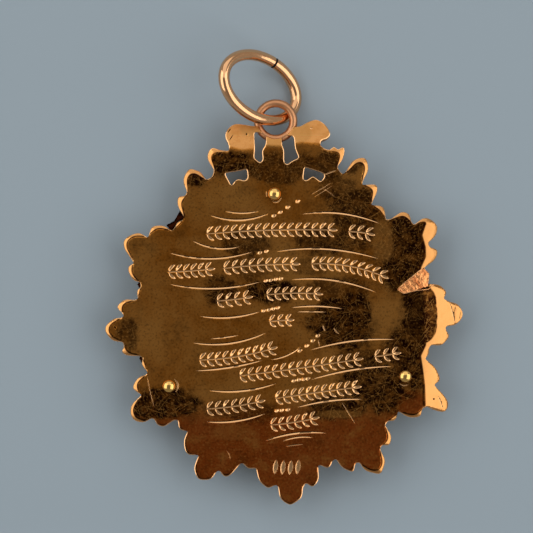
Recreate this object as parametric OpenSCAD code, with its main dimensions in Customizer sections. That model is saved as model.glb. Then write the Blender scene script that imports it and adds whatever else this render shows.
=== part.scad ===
// Leaf-edged fob charm, lying face down: back up, rings towards +Y, resting on the emblem of its front.
// Millimetres. The origin is on the rest plane, under the middle of the plate.

/* [Plate] */
// Thickness of the struck plate
plate_t = 1.0; // [0.8:0.05:1.2]
// Radius of the rounding at a leaf's corners
leaf_round = 0.45; // [0.3:0.05:0.6]
// Radius of the rounding in a notch between leaves
notch_round = 0.22; // [0.15:0.01:0.3]
// Where the right-hand rim starts to be bent down, from the middle
rim_fold_x = 14.0; // [13.9:0.1:14.4]
// How far the right-hand rim is bent towards the front
rim_fold_angle = 14; // [8:1:16]
// Where the crest starts to be bent down, above the middle
crest_fold_y = 19.1; // [19.0:0.1:19.3]
// How far the crest is bent towards the front
crest_fold_angle = 12; // [8:1:14]
// Depth of the rough repair at the right, below the back's surface
repair_depth = 0.3; // [0.2:0.05:0.4]
// Thickness of the small leaves that show dark in the notches at the left
under_leaf_t = 0.35; // [0.3:0.05:0.4]

/* [Rings] */
// Radius of the small ring's wire
small_wire_r = 0.4; // [0.38:0.01:0.42]
// Radius of the small ring, to the middle of its wire
small_ring_r = 1.78; // [1.76:0.01:1.8]
// Radius of the split ring's wire
split_wire_r = 0.57; // [0.5:0.01:0.58]
// Half of the split ring's length, to the middle of its wire
split_half_length = 4.61; // [4.6:0.01:4.64]
// Half of the split ring's width, to the middle of its wire
split_half_width = 3.15; // [3.14:0.01:3.18]
// Width of the saw cut in the split ring
split_cut = 0.12; // [0.08:0.01:0.2]

/* [Emblem and pins] */
// Thickness of the emblem, from the rest plane up
emblem_t = 2.5; // [2.3:0.1:2.6]
// Gap between pieces that lie on each other
seat_gap = 0.1; // [0.08:0.01:0.12]
// Radius of the disc at the emblem's hinge
hinge_r = 2.2; // [2:0.1:2.4]
// Half of a leg's width at the hinge
leg_half_w = 1.35; // [1.2:0.05:1.5]
// Half of a leg's width where it starts to narrow to its point
knee_half_w = 1.0; // [0.9:0.05:1.1]
// How far before its pin a leg starts to narrow
knee_before = 1.2; // [1:0.1:1.4]
// How far past its pin a leg's point reaches
point_past = 1.9; // [1.7:0.1:2.1]
// Half of a leg's width at its point
point_half_w = 0.15; // [0.1:0.01:0.2]
// Half of the arc's width
arc_half_w = 1.3; // [1.1:0.1:1.5]
// How far the arc's face lies above the rest plane
arc_lift = 0.4; // [0.2:0.1:0.6]
// Radius of the sun's disc
sun_r = 3.6; // [3.2:0.1:3.8]
// Radius of the raised middle of the sun's disc
sun_middle_r = 2.8; // [2.4:0.1:3]
// How far the sun's disc lies above the rest plane
sun_lift = 0.35; // [0.2:0.05:0.5]
// Number of the sun's rays
sun_rays = 16; // [12:2:20]
// How far a long ray's tip is from the sun's middle
ray_tip_r = 7.2; // [6.8:0.1:7.4]
// How much shorter every second ray is
ray_shorter = 0.6; // [0:0.1:1]
// Half of a ray's width at the disc
ray_half_w = 0.7; // [0.5:0.05:0.8]
// How far the rays lie above the rest plane
ray_lift = 0.9; // [0.6:0.1:1.2]
// Radius of a pin's shank
pin_r = 0.38; // [0.34:0.01:0.4]
// Radius of a pin's round head
pin_head_r = 0.63; // [0.58:0.01:0.66]
// Clearance round a pin's shank
pin_clear = 0.05; // [0.04:0.01:0.08]

/* [Hidden] */
plate_rose = "#a8703a";
ring_rose = "#d9a06a";
pin_yellow = "#e0b860";
front_z = emblem_t + seat_gap;
back_z = front_z + plate_t;
mid_z = front_z + plate_t / 2;
beyond = 40;
through = 10;

// The plate's edge, in millimetres from its middle. One row for each leaf, anticlockwise from the
// left of the small ring: first the notch before the leaf, then its corners as X and Y.
LEAVES = [
    [[-3.3, 20.9], [-4.3, 21.1], [-5.1, 21.1], [-5.8, 20.4], [-5.9, 19.7]],
    [[-5.5, 19.0], [-5.5, 18.4], [-6.4, 18.5], [-7.2, 18.8], [-7.6, 18.3], [-7.7, 17.6]],
    [[-7.0, 16.5], [-7.2, 15.8], [-7.8, 15.5], [-8.3, 16.3], [-8.8, 16.5], [-9.5, 16.7], [-10.0, 15.9]],
    [[-10.1, 15.3], [-9.7, 14.3], [-9.9, 13.9], [-10.6, 13.9], [-10.7, 13.1], [-10.4, 12.4]],
    [[-10.0, 11.8], [-10.1, 11.5], [-10.7, 11.3], [-10.9, 10.8]],
    [[-11.2, 10.4], [-12.1, 11.0], [-13.2, 10.9], [-13.4, 10.4]],
    [[-13.6, 9.7], [-14.5, 10.3], [-15.6, 9.9], [-16.1, 9.4], [-16.0, 8.6]],
    [[-15.0, 7.2], [-15.7, 6.8], [-15.4, 5.9], [-15.0, 5.4]],
    [[-14.4, 5.3], [-14.3, 4.8], [-14.7, 4.5], [-14.7, 4.1]],
    [[-14.6, 3.6], [-14.9, 3.5], [-16.0, 3.6], [-16.8, 2.8], [-16.4, 2.4]],
    [[-16.0, 2.0], [-16.2, 1.7], [-17.0, 1.7], [-17.9, 0.9], [-17.9, 0.3], [-17.2, -0.6]],
    [[-16.1, -0.7], [-16.0, -1.2], [-16.3, -1.7], [-15.7, -2.1], [-14.6, -2.1]],
    [[-14.1, -2.2], [-14.3, -3.0]],
    [[-13.6, -3.7], [-13.8, -4.0], [-14.6, -4.2], [-15.2, -5.2], [-14.9, -5.6]],
    [[-14.2, -6.0], [-14.8, -6.5], [-15.3, -7.0], [-15.4, -7.9], [-15.0, -8.6], [-14.0, -8.8]],
    [[-13.2, -8.3], [-12.9, -8.5], [-12.7, -9.0], [-12.1, -9.2], [-11.7, -9.0]],
    [[-11.0, -8.5], [-10.6, -8.5], [-10.5, -9.5]],
    [[-9.6, -9.6], [-10.0, -10.4], [-10.0, -11.2], [-9.7, -12.0]],
    [[-8.5, -12.0], [-8.9, -12.9], [-9.0, -13.5], [-8.6, -14.5], [-7.3, -14.5]],
    [[-6.7, -13.6], [-6.4, -13.6], [-6.0, -14.2], [-5.4, -14.1]],
    [[-4.3, -12.8], [-4.0, -12.9], [-3.6, -13.4], [-2.8, -13.3], [-2.5, -14.6], [-1.6, -15.4]],
    [[-0.9, -15.0], [-0.6, -15.1], [-0.4, -16.4], [0.6, -17.1], [1.8, -16.3]],
    [[1.9, -15.2], [2.2, -14.8], [2.9, -15.3], [3.5, -14.5]],
    [[3.4, -13.1], [3.6, -13.0], [4.5, -13.4]],
    [[4.9, -12.5], [5.2, -12.4], [5.8, -13.3], [7.0, -13.8]],
    [[7.1, -12.9], [7.5, -12.7], [8.1, -13.6], [9.7, -14.0], [10.2, -12.6]],
    [[9.6, -11.4], [9.8, -11.0], [10.6, -11.1], [10.8, -10.1]],
    [[10.1, -9.0], [10.4, -8.6], [11.2, -8.6]],
    [[11.4, -7.6], [12.5, -8.3], [13.7, -8.2], [13.8, -7.5]],
    [[14.1, -7.1], [15.2, -7.6], [16.1, -7.8], [16.5, -7.2], [16.4, -6.5], [15.7, -5.7]],
    [[14.9, -5.0], [15.7, -4.6], [15.4, -3.7], [15.0, -3.1]],
    [[14.0, -2.4], [14.5, -1.9]],
    [[14.4, -1.2], [14.7, -1.0], [15.8, -1.1], [16.7, -0.1]],
    [[16.1, 0.6], [16.2, 0.9], [17.1, 0.9], [17.8, 1.5], [18.0, 2.2], [17.5, 3.1], [16.7, 3.3]],
    [[15.9, 3.6], [16.4, 4.3], [15.6, 5.0], [14.9, 5.1]],
    [[14.3, 5.1], [14.3, 5.5], [14.6, 6.1]],
    [[13.9, 6.7], [15.1, 7.5], [15.4, 8.3], [15.2, 8.6]],
    [[14.5, 8.8], [14.3, 9.2], [15.2, 9.9], [15.4, 10.9], [14.8, 11.5], [14.0, 11.8]],
    [[13.0, 11.0], [12.7, 11.4], [12.6, 12.1], [11.8, 12.4]],
    [[10.7, 11.6], [10.2, 11.5], [10.1, 12.4], [9.9, 12.9]],
    [[8.7, 13.0], [9.4, 14.4], [9.3, 15.1]],
    [[7.8, 15.0], [7.9, 15.4], [8.5, 16.5], [8.3, 17.6], [7.8, 17.8], [6.9, 17.5]],
    [[6.1, 16.2], [5.8, 16.1], [5.3, 16.8], [5.8, 17.4], [6.1, 18.2], [6.0, 18.9]],
    [[5.4, 18.5], [5.0, 18.9], [4.6, 18.5], [4.1, 18.6]],
    [[3.6, 19.0], [3.7, 19.4], [4.4, 19.6], [4.7, 20.1], [4.2, 21.0], [3.3, 21.6], [2.4, 21.3], [1.6, 20.8]]
];

// The pierced openings between the crest and the plate, corners as X and Y.
OPENINGS = [
    [[-5.9, 16.2], [-5.8, 15.9], [-5.25, 14.9], [-4.9, 15.4], [-4.6, 15.6], [-3.9, 15.4], [-3.6, 15.7],
     [-3.7, 16.6], [-4.6, 16.4]],
    [[-3.0, 20.3], [-2.9, 18.7], [-3.0, 17.7], [-2.4, 17.2], [-2.1, 17.5], [-2.2, 18.4], [-1.8, 19.1],
     [-1.8, 20.2]],
    [[-0.2, 20.0], [-0.2, 19.0], [0.0, 18.5], [0.0, 17.3], [0.3, 17.0], [0.8, 17.4], [1.5, 17.7],
     [1.1, 18.7], [1.0, 19.9]],
    [[2.05, 16.8], [1.9, 15.6], [2.2, 15.4], [2.9, 15.9], [3.7, 15.3], [4.1, 15.9], [3.9, 16.2], [3.0, 16.5]]
];

// The rough repair that fills a notch at the right, corners as X and Y.
REPAIR = [[11.4, 4.55], [12.0, 5.1], [13.9, 6.65], [14.3, 6.4], [15.2, 6.1], [15.2, 5.2], [14.4, 4.6],
          [13.2, 4.5], [12.0, 4.2]];

// Leaves below the notches at the left: tip X, tip Y, direction and half angle at the tip, length.
UNDER_LEAVES = [
    [-11.05, 11.35, 10, 50, 1.2],
    [-11.8, 11.0, -12, 40, 1.2],
    [-14.7, 5.05, 0, 60, 0.8],
    [-14.5, -2.35, 0, 60, 0.8]
];

// Where the pins stand, as X and Y: at the emblem's hinge and at its two feet.
PIN_TOP = [-0.96, 14.11];
PIN_LEFT = [-11.51, -5.14];
PIN_RIGHT = [12.14, -4.14];

small_ring_at = [-0.83, 21.44];
small_ring_z = mid_z - (small_ring_at[1] - crest_fold_y) * sin(crest_fold_angle);
split_ring_at = [-2.37, 24.76];
split_ring_z = small_ring_z + 0.75;
split_ring_lean = [-7, 38.2];
split_ring_turn = -16.6;
split_cut_turn = 76;
wire_sides = 12;
wire_stations = 60;

// The point at a distance from a corner, on the way to its neighbour, and no further than halfway.
function towards(from, to, distance) = from + (to - from) * min(0.5, distance / norm(to - from));

// Positive where the outline turns left, which is a leaf's corner, and negative in a notch.
function turn_at(a, b, c) = (b[0] - a[0]) * (c[1] - b[1]) - (b[1] - a[1]) * (c[0] - b[0]);

// One corner as a curve from the edge before it to the edge after it.
function rounded_corner(a, b, c, outer, inner, steps) =
    let (cut = turn_at(a, b, c) > 0 ? outer : inner, start = towards(b, a, cut), end = towards(b, c, cut))
    [for (i = [0 : steps])
        let (s = i / steps) start * (1 - s) * (1 - s) + b * 2 * s * (1 - s) + end * s * s];

// A closed outline with every corner rounded.
function rounded_outline(points, outer, inner, steps) =
    let (n = len(points))
    [for (i = [0 : n - 1])
        for (p = rounded_corner(points[(i + n - 1) % n], points[i], points[(i + 1) % n], outer, inner, steps)) p];

leaf_points = [for (leaf = LEAVES) for (p = leaf) p];

// What lies beyond a fold across X, its near face leaning by half of the fold's angle.
module right_of_fold() {
    translate([rim_fold_x, -beyond, mid_z])
        rotate([0, rim_fold_angle / 2, 0])
            translate([0, 0, -through])
                cube([beyond, 2 * beyond, 2 * through]);
}

// What lies beyond a fold across Y, its near face leaning by half of the fold's angle.
module above_fold() {
    translate([-beyond, crest_fold_y, mid_z])
        rotate([-crest_fold_angle / 2, 0, 0])
            translate([0, 0, -through])
                cube([2 * beyond, beyond, 2 * through]);
}

module flat_plate() {
    translate([0, 0, front_z])
        linear_extrude(plate_t)
            polygon(rounded_outline(leaf_points, leaf_round, notch_round, 3));
}

// The plate with its right-hand rim and its crest bent towards the front, on mitred folds.
module bent_plate() {
    difference() {
        flat_plate();
        right_of_fold();
        above_fold();
    }
    intersection() {
        translate([rim_fold_x, 0, mid_z])
            rotate([0, rim_fold_angle, 0])
                translate([-rim_fold_x, 0, -mid_z])
                    flat_plate();
        right_of_fold();
    }
    intersection() {
        translate([0, crest_fold_y, mid_z])
            rotate([-crest_fold_angle, 0, 0])
                translate([0, -crest_fold_y, -mid_z])
                    flat_plate();
        above_fold();
    }
}

module under_leaf(leaf) {
    tip = [leaf[0], leaf[1]];
    side = leaf[4] / cos(leaf[3]);
    translate([0, 0, front_z])
        linear_extrude(under_leaf_t)
            polygon([
                tip,
                tip + side * [cos(leaf[2] - leaf[3]), sin(leaf[2] - leaf[3])],
                tip + side * [cos(leaf[2] + leaf[3]), sin(leaf[2] + leaf[3])]
            ]);
}

module ring_of_wire(ring_r, wire_r) {
    rotate_extrude($fn = 64)
        translate([ring_r, 0])
            circle(wire_r, $fn = 32);
}

module pin_bore(at) {
    translate([at[0], at[1], 0])
        cylinder(r = pin_r + pin_clear, h = through, $fn = 32);
}

module back_plate() {
    color(plate_rose) {
        difference() {
            union() {
                bent_plate();
                for (leaf = UNDER_LEAVES) under_leaf(leaf);
            }
            for (opening = OPENINGS)
                linear_extrude(through)
                    polygon(rounded_outline(opening, notch_round, notch_round, 2));
            translate([0, 0, back_z - repair_depth])
                linear_extrude(through)
                    polygon(REPAIR);
            translate([small_ring_at[0], small_ring_at[1], 0])
                cylinder(r = small_ring_r, h = through, $fn = 64);
            for (at = [PIN_TOP, PIN_LEFT, PIN_RIGHT]) pin_bore(at);
        }
        translate([small_ring_at[0], small_ring_at[1], small_ring_z])
            ring_of_wire(small_ring_r, small_wire_r);
    }
}

// The middle of the split ring's wire at an angle, on an oval in its own plane.
function oval_middle(turn) = [split_half_length * cos(turn), split_half_width * sin(turn), 0];

// The outward direction across the wire there.
function oval_outward(turn) =
    let (way = [split_half_width * cos(turn), split_half_length * sin(turn), 0]) way / norm(way);

// The corners of the wire's section there.
function wire_section(turn) =
    [for (j = [0 : wire_sides - 1])
        let (around = j * 360 / wire_sides)
        oval_middle(turn) + split_wire_r * (cos(around) * oval_outward(turn) + [0, 0, sin(around)])];

// Round wire bent to an oval and cut through once, as one closed mesh.
module cut_oval() {
    half_gap = asin(split_cut / 2 / split_half_width);
    first = split_cut_turn + half_gap;
    step = (360 - 2 * half_gap) / wire_stations;
    points = [for (i = [0 : wire_stations]) for (p = wire_section(first + i * step)) p];
    walls = [for (i = [0 : wire_stations - 1]) for (j = [0 : wire_sides - 1])
        let (a = i * wire_sides + j, b = i * wire_sides + (j + 1) % wire_sides)
        [a, b, b + wire_sides, a + wire_sides]];
    start_cap = [for (j = [wire_sides - 1 : -1 : 0]) j];
    end_cap = [for (j = [0 : wire_sides - 1]) wire_stations * wire_sides + j];
    polyhedron(points, concat([start_cap, end_cap], walls));
}

module split_ring() {
    color(ring_rose)
        translate([split_ring_at[0], split_ring_at[1], split_ring_z])
            rotate([split_ring_lean[0], split_ring_lean[1], 0])
                rotate([0, 0, split_ring_turn])
                    cut_oval();
}

// A rivet: a shank that ends inside the emblem, and a polished round head on the back of the plate.
module pin(at) {
    head_seat = back_z + pin_clear;
    color(pin_yellow)
        translate([at[0], at[1], 0]) {
            translate([0, 0, emblem_t / 2])
                cylinder(r = pin_r, h = head_seat - emblem_t / 2 + pin_head_r / 3, $fn = 32);
            intersection() {
                translate([0, 0, head_seat + pin_head_r / 4])
                    sphere(pin_head_r, $fn = 48);
                translate([-pin_head_r, -pin_head_r, head_seat])
                    cube(2 * pin_head_r);
            }
        }
}

module pin_top() {
    pin(PIN_TOP);
}

module pin_left() {
    pin(PIN_LEFT);
}

module pin_right() {
    pin(PIN_RIGHT);
}

// One leg of the emblem: from the hinge, past the pin, to its point.
module leg(foot) {
    along = (foot - PIN_TOP) / norm(foot - PIN_TOP);
    across = [-along[1], along[0]];
    knee = foot - along * knee_before;
    point = foot + along * point_past;
    linear_extrude(emblem_t)
        polygon([
            PIN_TOP + across * leg_half_w,
            PIN_TOP - across * leg_half_w,
            knee - across * knee_half_w,
            point - across * point_half_w,
            point + across * point_half_w,
            knee + across * knee_half_w
        ]);
}

// The arc that joins the two feet, centred on the hinge.
module foot_arc() {
    reach = (norm(PIN_LEFT - PIN_TOP) + norm(PIN_RIGHT - PIN_TOP)) / 2;
    left = atan2(PIN_LEFT[1] - PIN_TOP[1], PIN_LEFT[0] - PIN_TOP[0]);
    right = atan2(PIN_RIGHT[1] - PIN_TOP[1], PIN_RIGHT[0] - PIN_TOP[0]);
    translate([PIN_TOP[0], PIN_TOP[1], arc_lift])
        rotate([0, 0, left])
            rotate_extrude(angle = right - left, $fn = 128)
                translate([reach - arc_half_w, 0])
                    square([2 * arc_half_w, emblem_t - arc_lift]);
}

module sun() {
    cylinder(r = sun_middle_r, h = emblem_t, $fn = 64);
    translate([0, 0, sun_lift])
        cylinder(r = sun_r, h = emblem_t - sun_lift, $fn = 64);
    for (i = [0 : sun_rays - 1])
        rotate([0, 0, i * 360 / sun_rays])
            translate([0, 0, ray_lift])
                linear_extrude(emblem_t - ray_lift)
                    ray(ray_tip_r - (i % 2) * ray_shorter);
}

// One ray of the sun, its root inside the disc.
module ray(tip_r) {
    root = sqrt(sun_r * sun_r - ray_half_w * ray_half_w) - seat_gap;
    polygon([[root, -ray_half_w], [tip_r, 0], [root, ray_half_w]]);
}

// What the pins hold on the front: a pair of compasses on an arc, round a sun.
module front_emblem() {
    color(pin_yellow)
        difference() {
            union() {
                translate([PIN_TOP[0], PIN_TOP[1], 0])
                    cylinder(r = hinge_r, h = emblem_t, $fn = 48);
                leg(PIN_LEFT);
                leg(PIN_RIGHT);
                foot_arc();
                sun();
            }
            for (at = [PIN_TOP, PIN_LEFT, PIN_RIGHT])
                translate([at[0], at[1], emblem_t / 2 - seat_gap])
                    cylinder(r = pin_r + pin_clear, h = emblem_t, $fn = 32);
        }
}

back_plate();
split_ring();
pin_top();
pin_left();
pin_right();
front_emblem();
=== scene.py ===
"""A leaf-edged gold fob charm, lying face down with its engraved back up. Run it as a script."""

from contextlib import contextmanager
from math import atan2, cos, hypot, pi, radians, sin, tan

import bpy
import numpy as np
from mathutils import Matrix, Vector
from mathutils.bvhtree import BVHTree


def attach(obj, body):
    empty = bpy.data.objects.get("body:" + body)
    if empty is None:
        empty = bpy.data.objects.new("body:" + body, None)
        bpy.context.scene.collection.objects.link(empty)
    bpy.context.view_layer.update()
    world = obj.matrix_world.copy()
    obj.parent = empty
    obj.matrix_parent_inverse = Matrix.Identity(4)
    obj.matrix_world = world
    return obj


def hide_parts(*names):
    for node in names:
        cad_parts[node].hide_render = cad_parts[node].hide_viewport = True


bl_info = {
    "name": "Leaf-edged fob charm",
    "version": (1, 0, 0),
    "blender": (4, 5, 0),
    "location": "View3D > Sidebar > Charm",
    "description": "Builds the finished pieces of a gold fob charm round its CAD frame",
    "category": "Add Mesh",
}

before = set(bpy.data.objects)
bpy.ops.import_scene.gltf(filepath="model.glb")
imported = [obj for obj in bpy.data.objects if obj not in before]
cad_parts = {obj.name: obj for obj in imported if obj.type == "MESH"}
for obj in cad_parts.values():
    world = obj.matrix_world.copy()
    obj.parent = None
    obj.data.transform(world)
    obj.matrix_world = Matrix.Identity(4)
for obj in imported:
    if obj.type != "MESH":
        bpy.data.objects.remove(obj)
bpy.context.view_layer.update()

MM = 0.001
SAME_POINT = 0.5e-6  # corners of a CAD mesh this near to each other, in metres, are one
# The last slot is dark: dirt in dents and the saw cut, and painted shade on the engraved lines' steep upper walls.
CUT_SLOT, REPAIR_SLOT, RING_SLOT, DIRT_AND_SHADE_SLOT = 1, 2, 3, 4  # the plate's material slots after its own gold

# Where the plate lies, in millimetres, as in the CAD.
BACK_Z = 3.6
PLATE_T = 1.0
BACK_DEPTH = 0.35  # what lies less than this below the folded back still belongs to the back
RIM_BEND = 14  # how many degrees the right-hand rim is bent down
CREST_BEND = 12  # how many degrees the crest is bent down
SMALL_RING = (-0.83, 21.44, 2.6135, 1.78, 0.405)  # middle, radius and wire radius of the soldered ring
RIM_LINE = [(-9, 14.06), (-5, 13.9), (-3.4, 13.7), (-2.1, 13.5), (-1, 14.0), (3, 14.06), (5, 13.8), (6.7, 13.5),
            (7.8, 14.0), (8.8, 13.98), (10, 13.65), (11.2, 14.06)]  # the line of the rim's fold: y, x
CREST_LINE = [(-8, 18.78), (-5.6, 18.73), (-4.2, 18.38), (-3, 18.48), (-1.9, 18.83), (0.3, 18.78), (1.6, 19.13),
              (4, 18.98), (6, 18.78)]  # the line of the crest's fold: x, y
CREST_OPENINGS = [(-3.2, 1.6, 17.0, 19.6), (-6.0, 4.2, 14.9, 16.7)]  # boxes round those that get no facet
PINS = {"pin_top": (-0.96, 14.11), "pin_left": (-11.51, -5.14), "pin_right": (12.14, -4.14)}
REPAIR = [(11.4, 4.55), (12.0, 5.1), (13.9, 6.65), (14.3, 6.4), (14.55, 6.1), (14.5, 5.6), (14.4, 4.85), (13.2, 4.5),
          (12.0, 4.2)]

# Engraved flourishes: x and y of the start, of a point on the way and of the end, in millimetres.
FLOURISHES = [
    (-6.0, 12.4, -4.4, 12.2, -2.4, 12.4), (-7.5, 12.0, -4.6, 11.5, -1.4, 12.2),
    (-9.3, 9.5, -6.9, 8.7, -4.3, 8.85), (-11.6, 8.25, -8.0, 7.66, -3.0, 8.36),
    (-11.6, 5.1, -8.6, 4.7, -2.2, 5.35), (-8.6, 1.9, -5.9, 1.74, -2.2, 2.4),
    (-7.5, -0.4, -6.0, -0.25, -4.4, 0.0), (-9.3, -0.76, -6.4, -0.92, -1.6, 0.3),
    (-1.4, -2.5, 0.6, -1.9, 1.8, -1.1), (-9.0, -3.6, -5.9, -3.3, -2.0, -2.5),
    (-7.6, -5.55, -5.2, -5.65, -0.6, -4.8), (-7.9, -8.68, -5.8, -8.7, -1.7, -7.8),
    (1.6, 12.03, 4.5, 12.26, 9.75, 11.06), (-0.9, 8.3, 3.4, 8.65, 9.64, 7.55),
    (0.6, 5.5, 3.9, 5.6, 9.4, 4.17), (0.6, 2.7, 2.8, 2.9, 5.96, 2.6),
    (1.2, 2.3, 2.8, 2.34, 4.36, 2.27), (2.5, -1.57, 7.6, -0.5, 11.3, -0.48),
    (2.5, -4.55, 7.3, -3.4, 11.0, -3.15), (1.2, -7.3, 4.7, -6.55, 8.0, -6.45),
    (-2.0, -10.65, 1.65, -9.78, 4.4, -9.85), (-0.3, -10.7, 1.9, -10.2, 3.05, -10.3),
    (0.16, -11.16, 1.1, -11.0, 2.0, -10.93),
]

# Bands of laurel between them: the same, and the band's height.
LAURELS = [
    (-7.9, 10.1, -1.5, 10.5, 5.0, 10.5, 1.4), (6.3, 10.35, 7.5, 10.3, 8.8, 10.05, 1.4),
    (-11.7, 6.3, -9.8, 6.4, -7.3, 6.6, 1.4), (-6.2, 6.65, -2.5, 7.0, 1.3, 7.1, 1.4),
    (2.6, 7.1, 6.6, 6.9, 10.1, 5.8, 1.4), (-6.9, 3.4, -5.2, 3.55, -3.4, 3.8, 1.4),
    (-1.9, 4.0, 0.8, 4.2, 3.6, 4.1, 1.3), (-1.6, 1.35, -0.5, 1.45, 0.8, 1.5, 1.2),
    (-8.6, -2.5, -4.8, -2.15, -1.0, -1.3, 1.4), (-4.6, -4.1, 1.5, -3.3, 7.6, -2.4, 1.4),
    (8.9, -2.2, 10.2, -2.0, 11.5, -1.8, 1.3), (-7.9, -7.4, -4.9, -7.1, -2.2, -6.6, 1.4),
    (-1.0, -6.35, 3.2, -5.75, 7.4, -5.2, 1.4), (-1.5, -9.0, 0.8, -8.75, 3.2, -8.3, 1.4),
]

# Short bright dashes: middle in millimetres.
DASHES = [(-1.0, 11.9), (-0.35, 12.25), (0.4, 12.75), (1.4, 13.35), (-2.4, 8.2), (-1.75, 8.35), (-1.8, 5.4),
          (-1.3, 5.45), (-0.8, 5.55), (-0.3, 5.6), (-2.0, 2.4), (-1.5, 2.5), (-1.05, 2.6), (-0.6, 2.7),
          (1.6, -1.6), (2.3, -1.1), (2.9, -0.6), (3.4, -0.1), (1.0, -4.6), (1.5, -4.5), (2.0, -4.45),
          (2.4, -4.4), (-0.7, -7.6), (-0.2, -7.55), (0.4, -7.5)]

# Scratches and small marks: the same as a flourish, and the width.
SCRATCHES = [
    (4.0, 16.0, 4.35, 16.15, 5.3, 16.5, 0.12), (5.7, -6.6, 6.4, -7.7, 7.2, -9.0, 0.09),
    (-13.7, -4.0, -13.4, -5.6, -12.95, -7.3, 0.07), (2.6, 14.0, 3.7, 14.6, 4.8, 15.3, 0.06),
    (3.0, 13.8, 4.0, 14.4, 4.9, 15.0, 0.05), (3.8, 14.7, 4.5, 14.3, 5.1, 13.8, 0.06),
    (-5.8, -11.5, -5.5, -11.9, -5.4, -12.5, 0.06),
    (16.6, 3.2, 16.9, 2.3, 17.1, 1.3, 0.07), (15.4, -6.1, 15.7, -6.7, 15.9, -7.4, 0.07),
    (-11.1, -4.3, -10.6, -5.0, -10.9, -5.8, 0.14), (-1.7, 14.4, -1.75, 14.1, -1.7, 13.8, 0.08),
    (-1.2, 13.35, -0.7, 13.3, -0.2, 13.8, 0.12), (11.5, -4.8, 12.0, -5.05, 12.5, -4.9, 0.1),
    (3.9, 1.0, 4.0, 0.7, 4.1, 0.4, 0.16), (5.0, 0.7, 5.2, 0.4, 5.5, 0.1, 0.14),
    (3.4, -0.5, 3.5, -0.8, 3.55, -1.1, 0.1), (2.6, 20.7, 2.7, 20.7, 2.85, 20.65, 0.12),
]

# Small dents with dirt in them: as a scratch.
DENTS = [
    (-5.65, 20.15, -5.5, 20.45, -5.25, 20.7, 0.12), (-5.5, 19.35, -5.3, 19.75, -5.0, 20.1, 0.1),
    (-3.85, 20.08, -3.76, 20.12, -3.65, 20.16, 0.2), (17.55, 1.95, 17.62, 1.8, 17.6, 1.6, 0.2),
    (14.95, -6.3, 15.0, -6.4, 15.1, -6.45, 0.16), (15.35, 11.0, 15.6, 10.85, 15.8, 10.6, 0.24),
    (-16.95, 0.95, -16.9, 0.75, -16.75, 0.6, 0.24),
]

# Plain punched almonds, upright in a row: middle in millimetres.
PUNCHES = [(-0.85, -13.2), (-0.1, -13.25), (0.65, -13.25), (1.4, -13.2)]

# Where the back is painted dark, partly tarnished metal and partly painted dark reflection: middle, half width and half
# height in millimetres, and how dense it is.
TARNISH_AND_REFLECTION_OVALS = [
    (12.3, 8.2, 3.0, 4.6, 1.0), (12.6, -1.2, 2.9, 5.2, 1.0), (8.8, -4.8, 3.8, 3.2, 1.0), (6.2, 1.1, 4.2, 2.8, 1.0),
    (7.7, 12.3, 4.0, 3.4, 0.95), (4.0, 9.3, 3.0, 1.8, 0.95), (-3.3, 9.2, 2.7, 1.7, 0.9), (-0.8, 4.5, 2.7, 1.5, 1.0),
    (-6.4, 4.4, 1.8, 1.6, 0.95), (-3.5, 6.8, 2.4, 1.4, 0.7), (5.0, 4.6, 3.4, 1.4, 0.8), (-11.4, -6.9, 4.2, 1.5, 1.0),
    (-5.4, -7.5, 4.2, 1.2, 0.75), (5.2, -7.2, 3.8, 1.5, 1.0), (-15.4, 0.0, 1.3, 1.9, 0.85),
    (-5.6, 17.1, 3.0, 1.4, 1.0), (0.4, 16.8, 5.2, 1.5, 0.85), (5.5, 17.1, 3.4, 1.8, 0.9), (-8.9, 15.5, 1.4, 0.8, 1.0),
    (-15.6, -3.6, 1.2, 0.9, 0.8), (2.4, 6.8, 2.6, 1.2, 0.6), (7.4, -2.6, 3.4, 1.3, 0.8), (5.6, 14.9, 2.4, 1.6, 0.8),
    (13.2, 2.6, 2.1, 2.7, 1.0),
]
# Where that dark, of tarnished metal and painted dark reflection, runs on over the folded rim, where the bend would
# otherwise catch the light.
RIM_TARNISH_AND_REFLECTION = [(13.6, 3.2, 1.72, 2.0, 1.0), (13.8, 2.1, 1.62, 2.2, 1.0), (13.75, 0.9, 1.62, 1.8, 1.0)]
# Where a thumb has wiped the brown tone paler.
WIPED = [(-4.4, 2.75, 2.6, 0.6, 0.5), (-8.6, -1.2, 1.1, 0.6, 0.35), (-8.8, 9.1, 1.9, 0.7, 0.4),
         (-12.6, 5.9, 1.6, 1.2, 0.3), (-5.6, -9.6, 2.2, 0.8, 0.25), (-9.6, 6.9, 1.0, 0.6, 0.35),
         (9.9, 9.4, 1.0, 2.0, 0.35), (10.2, 2.2, 0.9, 2.4, 0.3), (5.6, -7.9, 2.4, 0.5, 0.3)]
# Where the redder tone of the foot shows on the right as well.
RED_LEAVES = [(13.0, -7.0, 1.7, 1.7, 0.85)]
# Where solder of a duller, browner gold has run out of the small ring's joints.
SOLDER = [(-3.2, 20.6, 1.3, 0.8, 0.55), (1.8, 20.3, 0.8, 1.0, 0.5), (-0.9, 19.3, 1.2, 0.5, 0.55)]
# Painted shade in three deep clefts on the left, where the lower leaves lie in the dark.
NOTCH_SHADE_SPOTS = [(-10.9, 11.3, 1.3, 1.4, 1.0), (-14.6, 5.1, 0.8, 0.9, 1.0), (-14.3, -2.3, 0.8, 0.9, 1.0)]


def linear(hex_colour):
    """An sRGB hex colour as linear red, green, blue and alpha."""
    parts = [int(hex_colour[i:i + 2], 16) / 255 for i in (1, 3, 5)]
    return tuple(c / 12.92 if c <= 0.04045 else ((c + 0.055) / 1.055) ** 2.4 for c in parts) + (1.0,)


def colour(hex_colour, name, description):
    return bpy.props.FloatVectorProperty(
        name=name, description=description, subtype="COLOR", size=4, min=0, max=1, default=linear(hex_colour))


def length(mm, name, description):
    return bpy.props.FloatProperty(name=name, description=description, default=mm * MM, min=0, unit="LENGTH")


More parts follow.
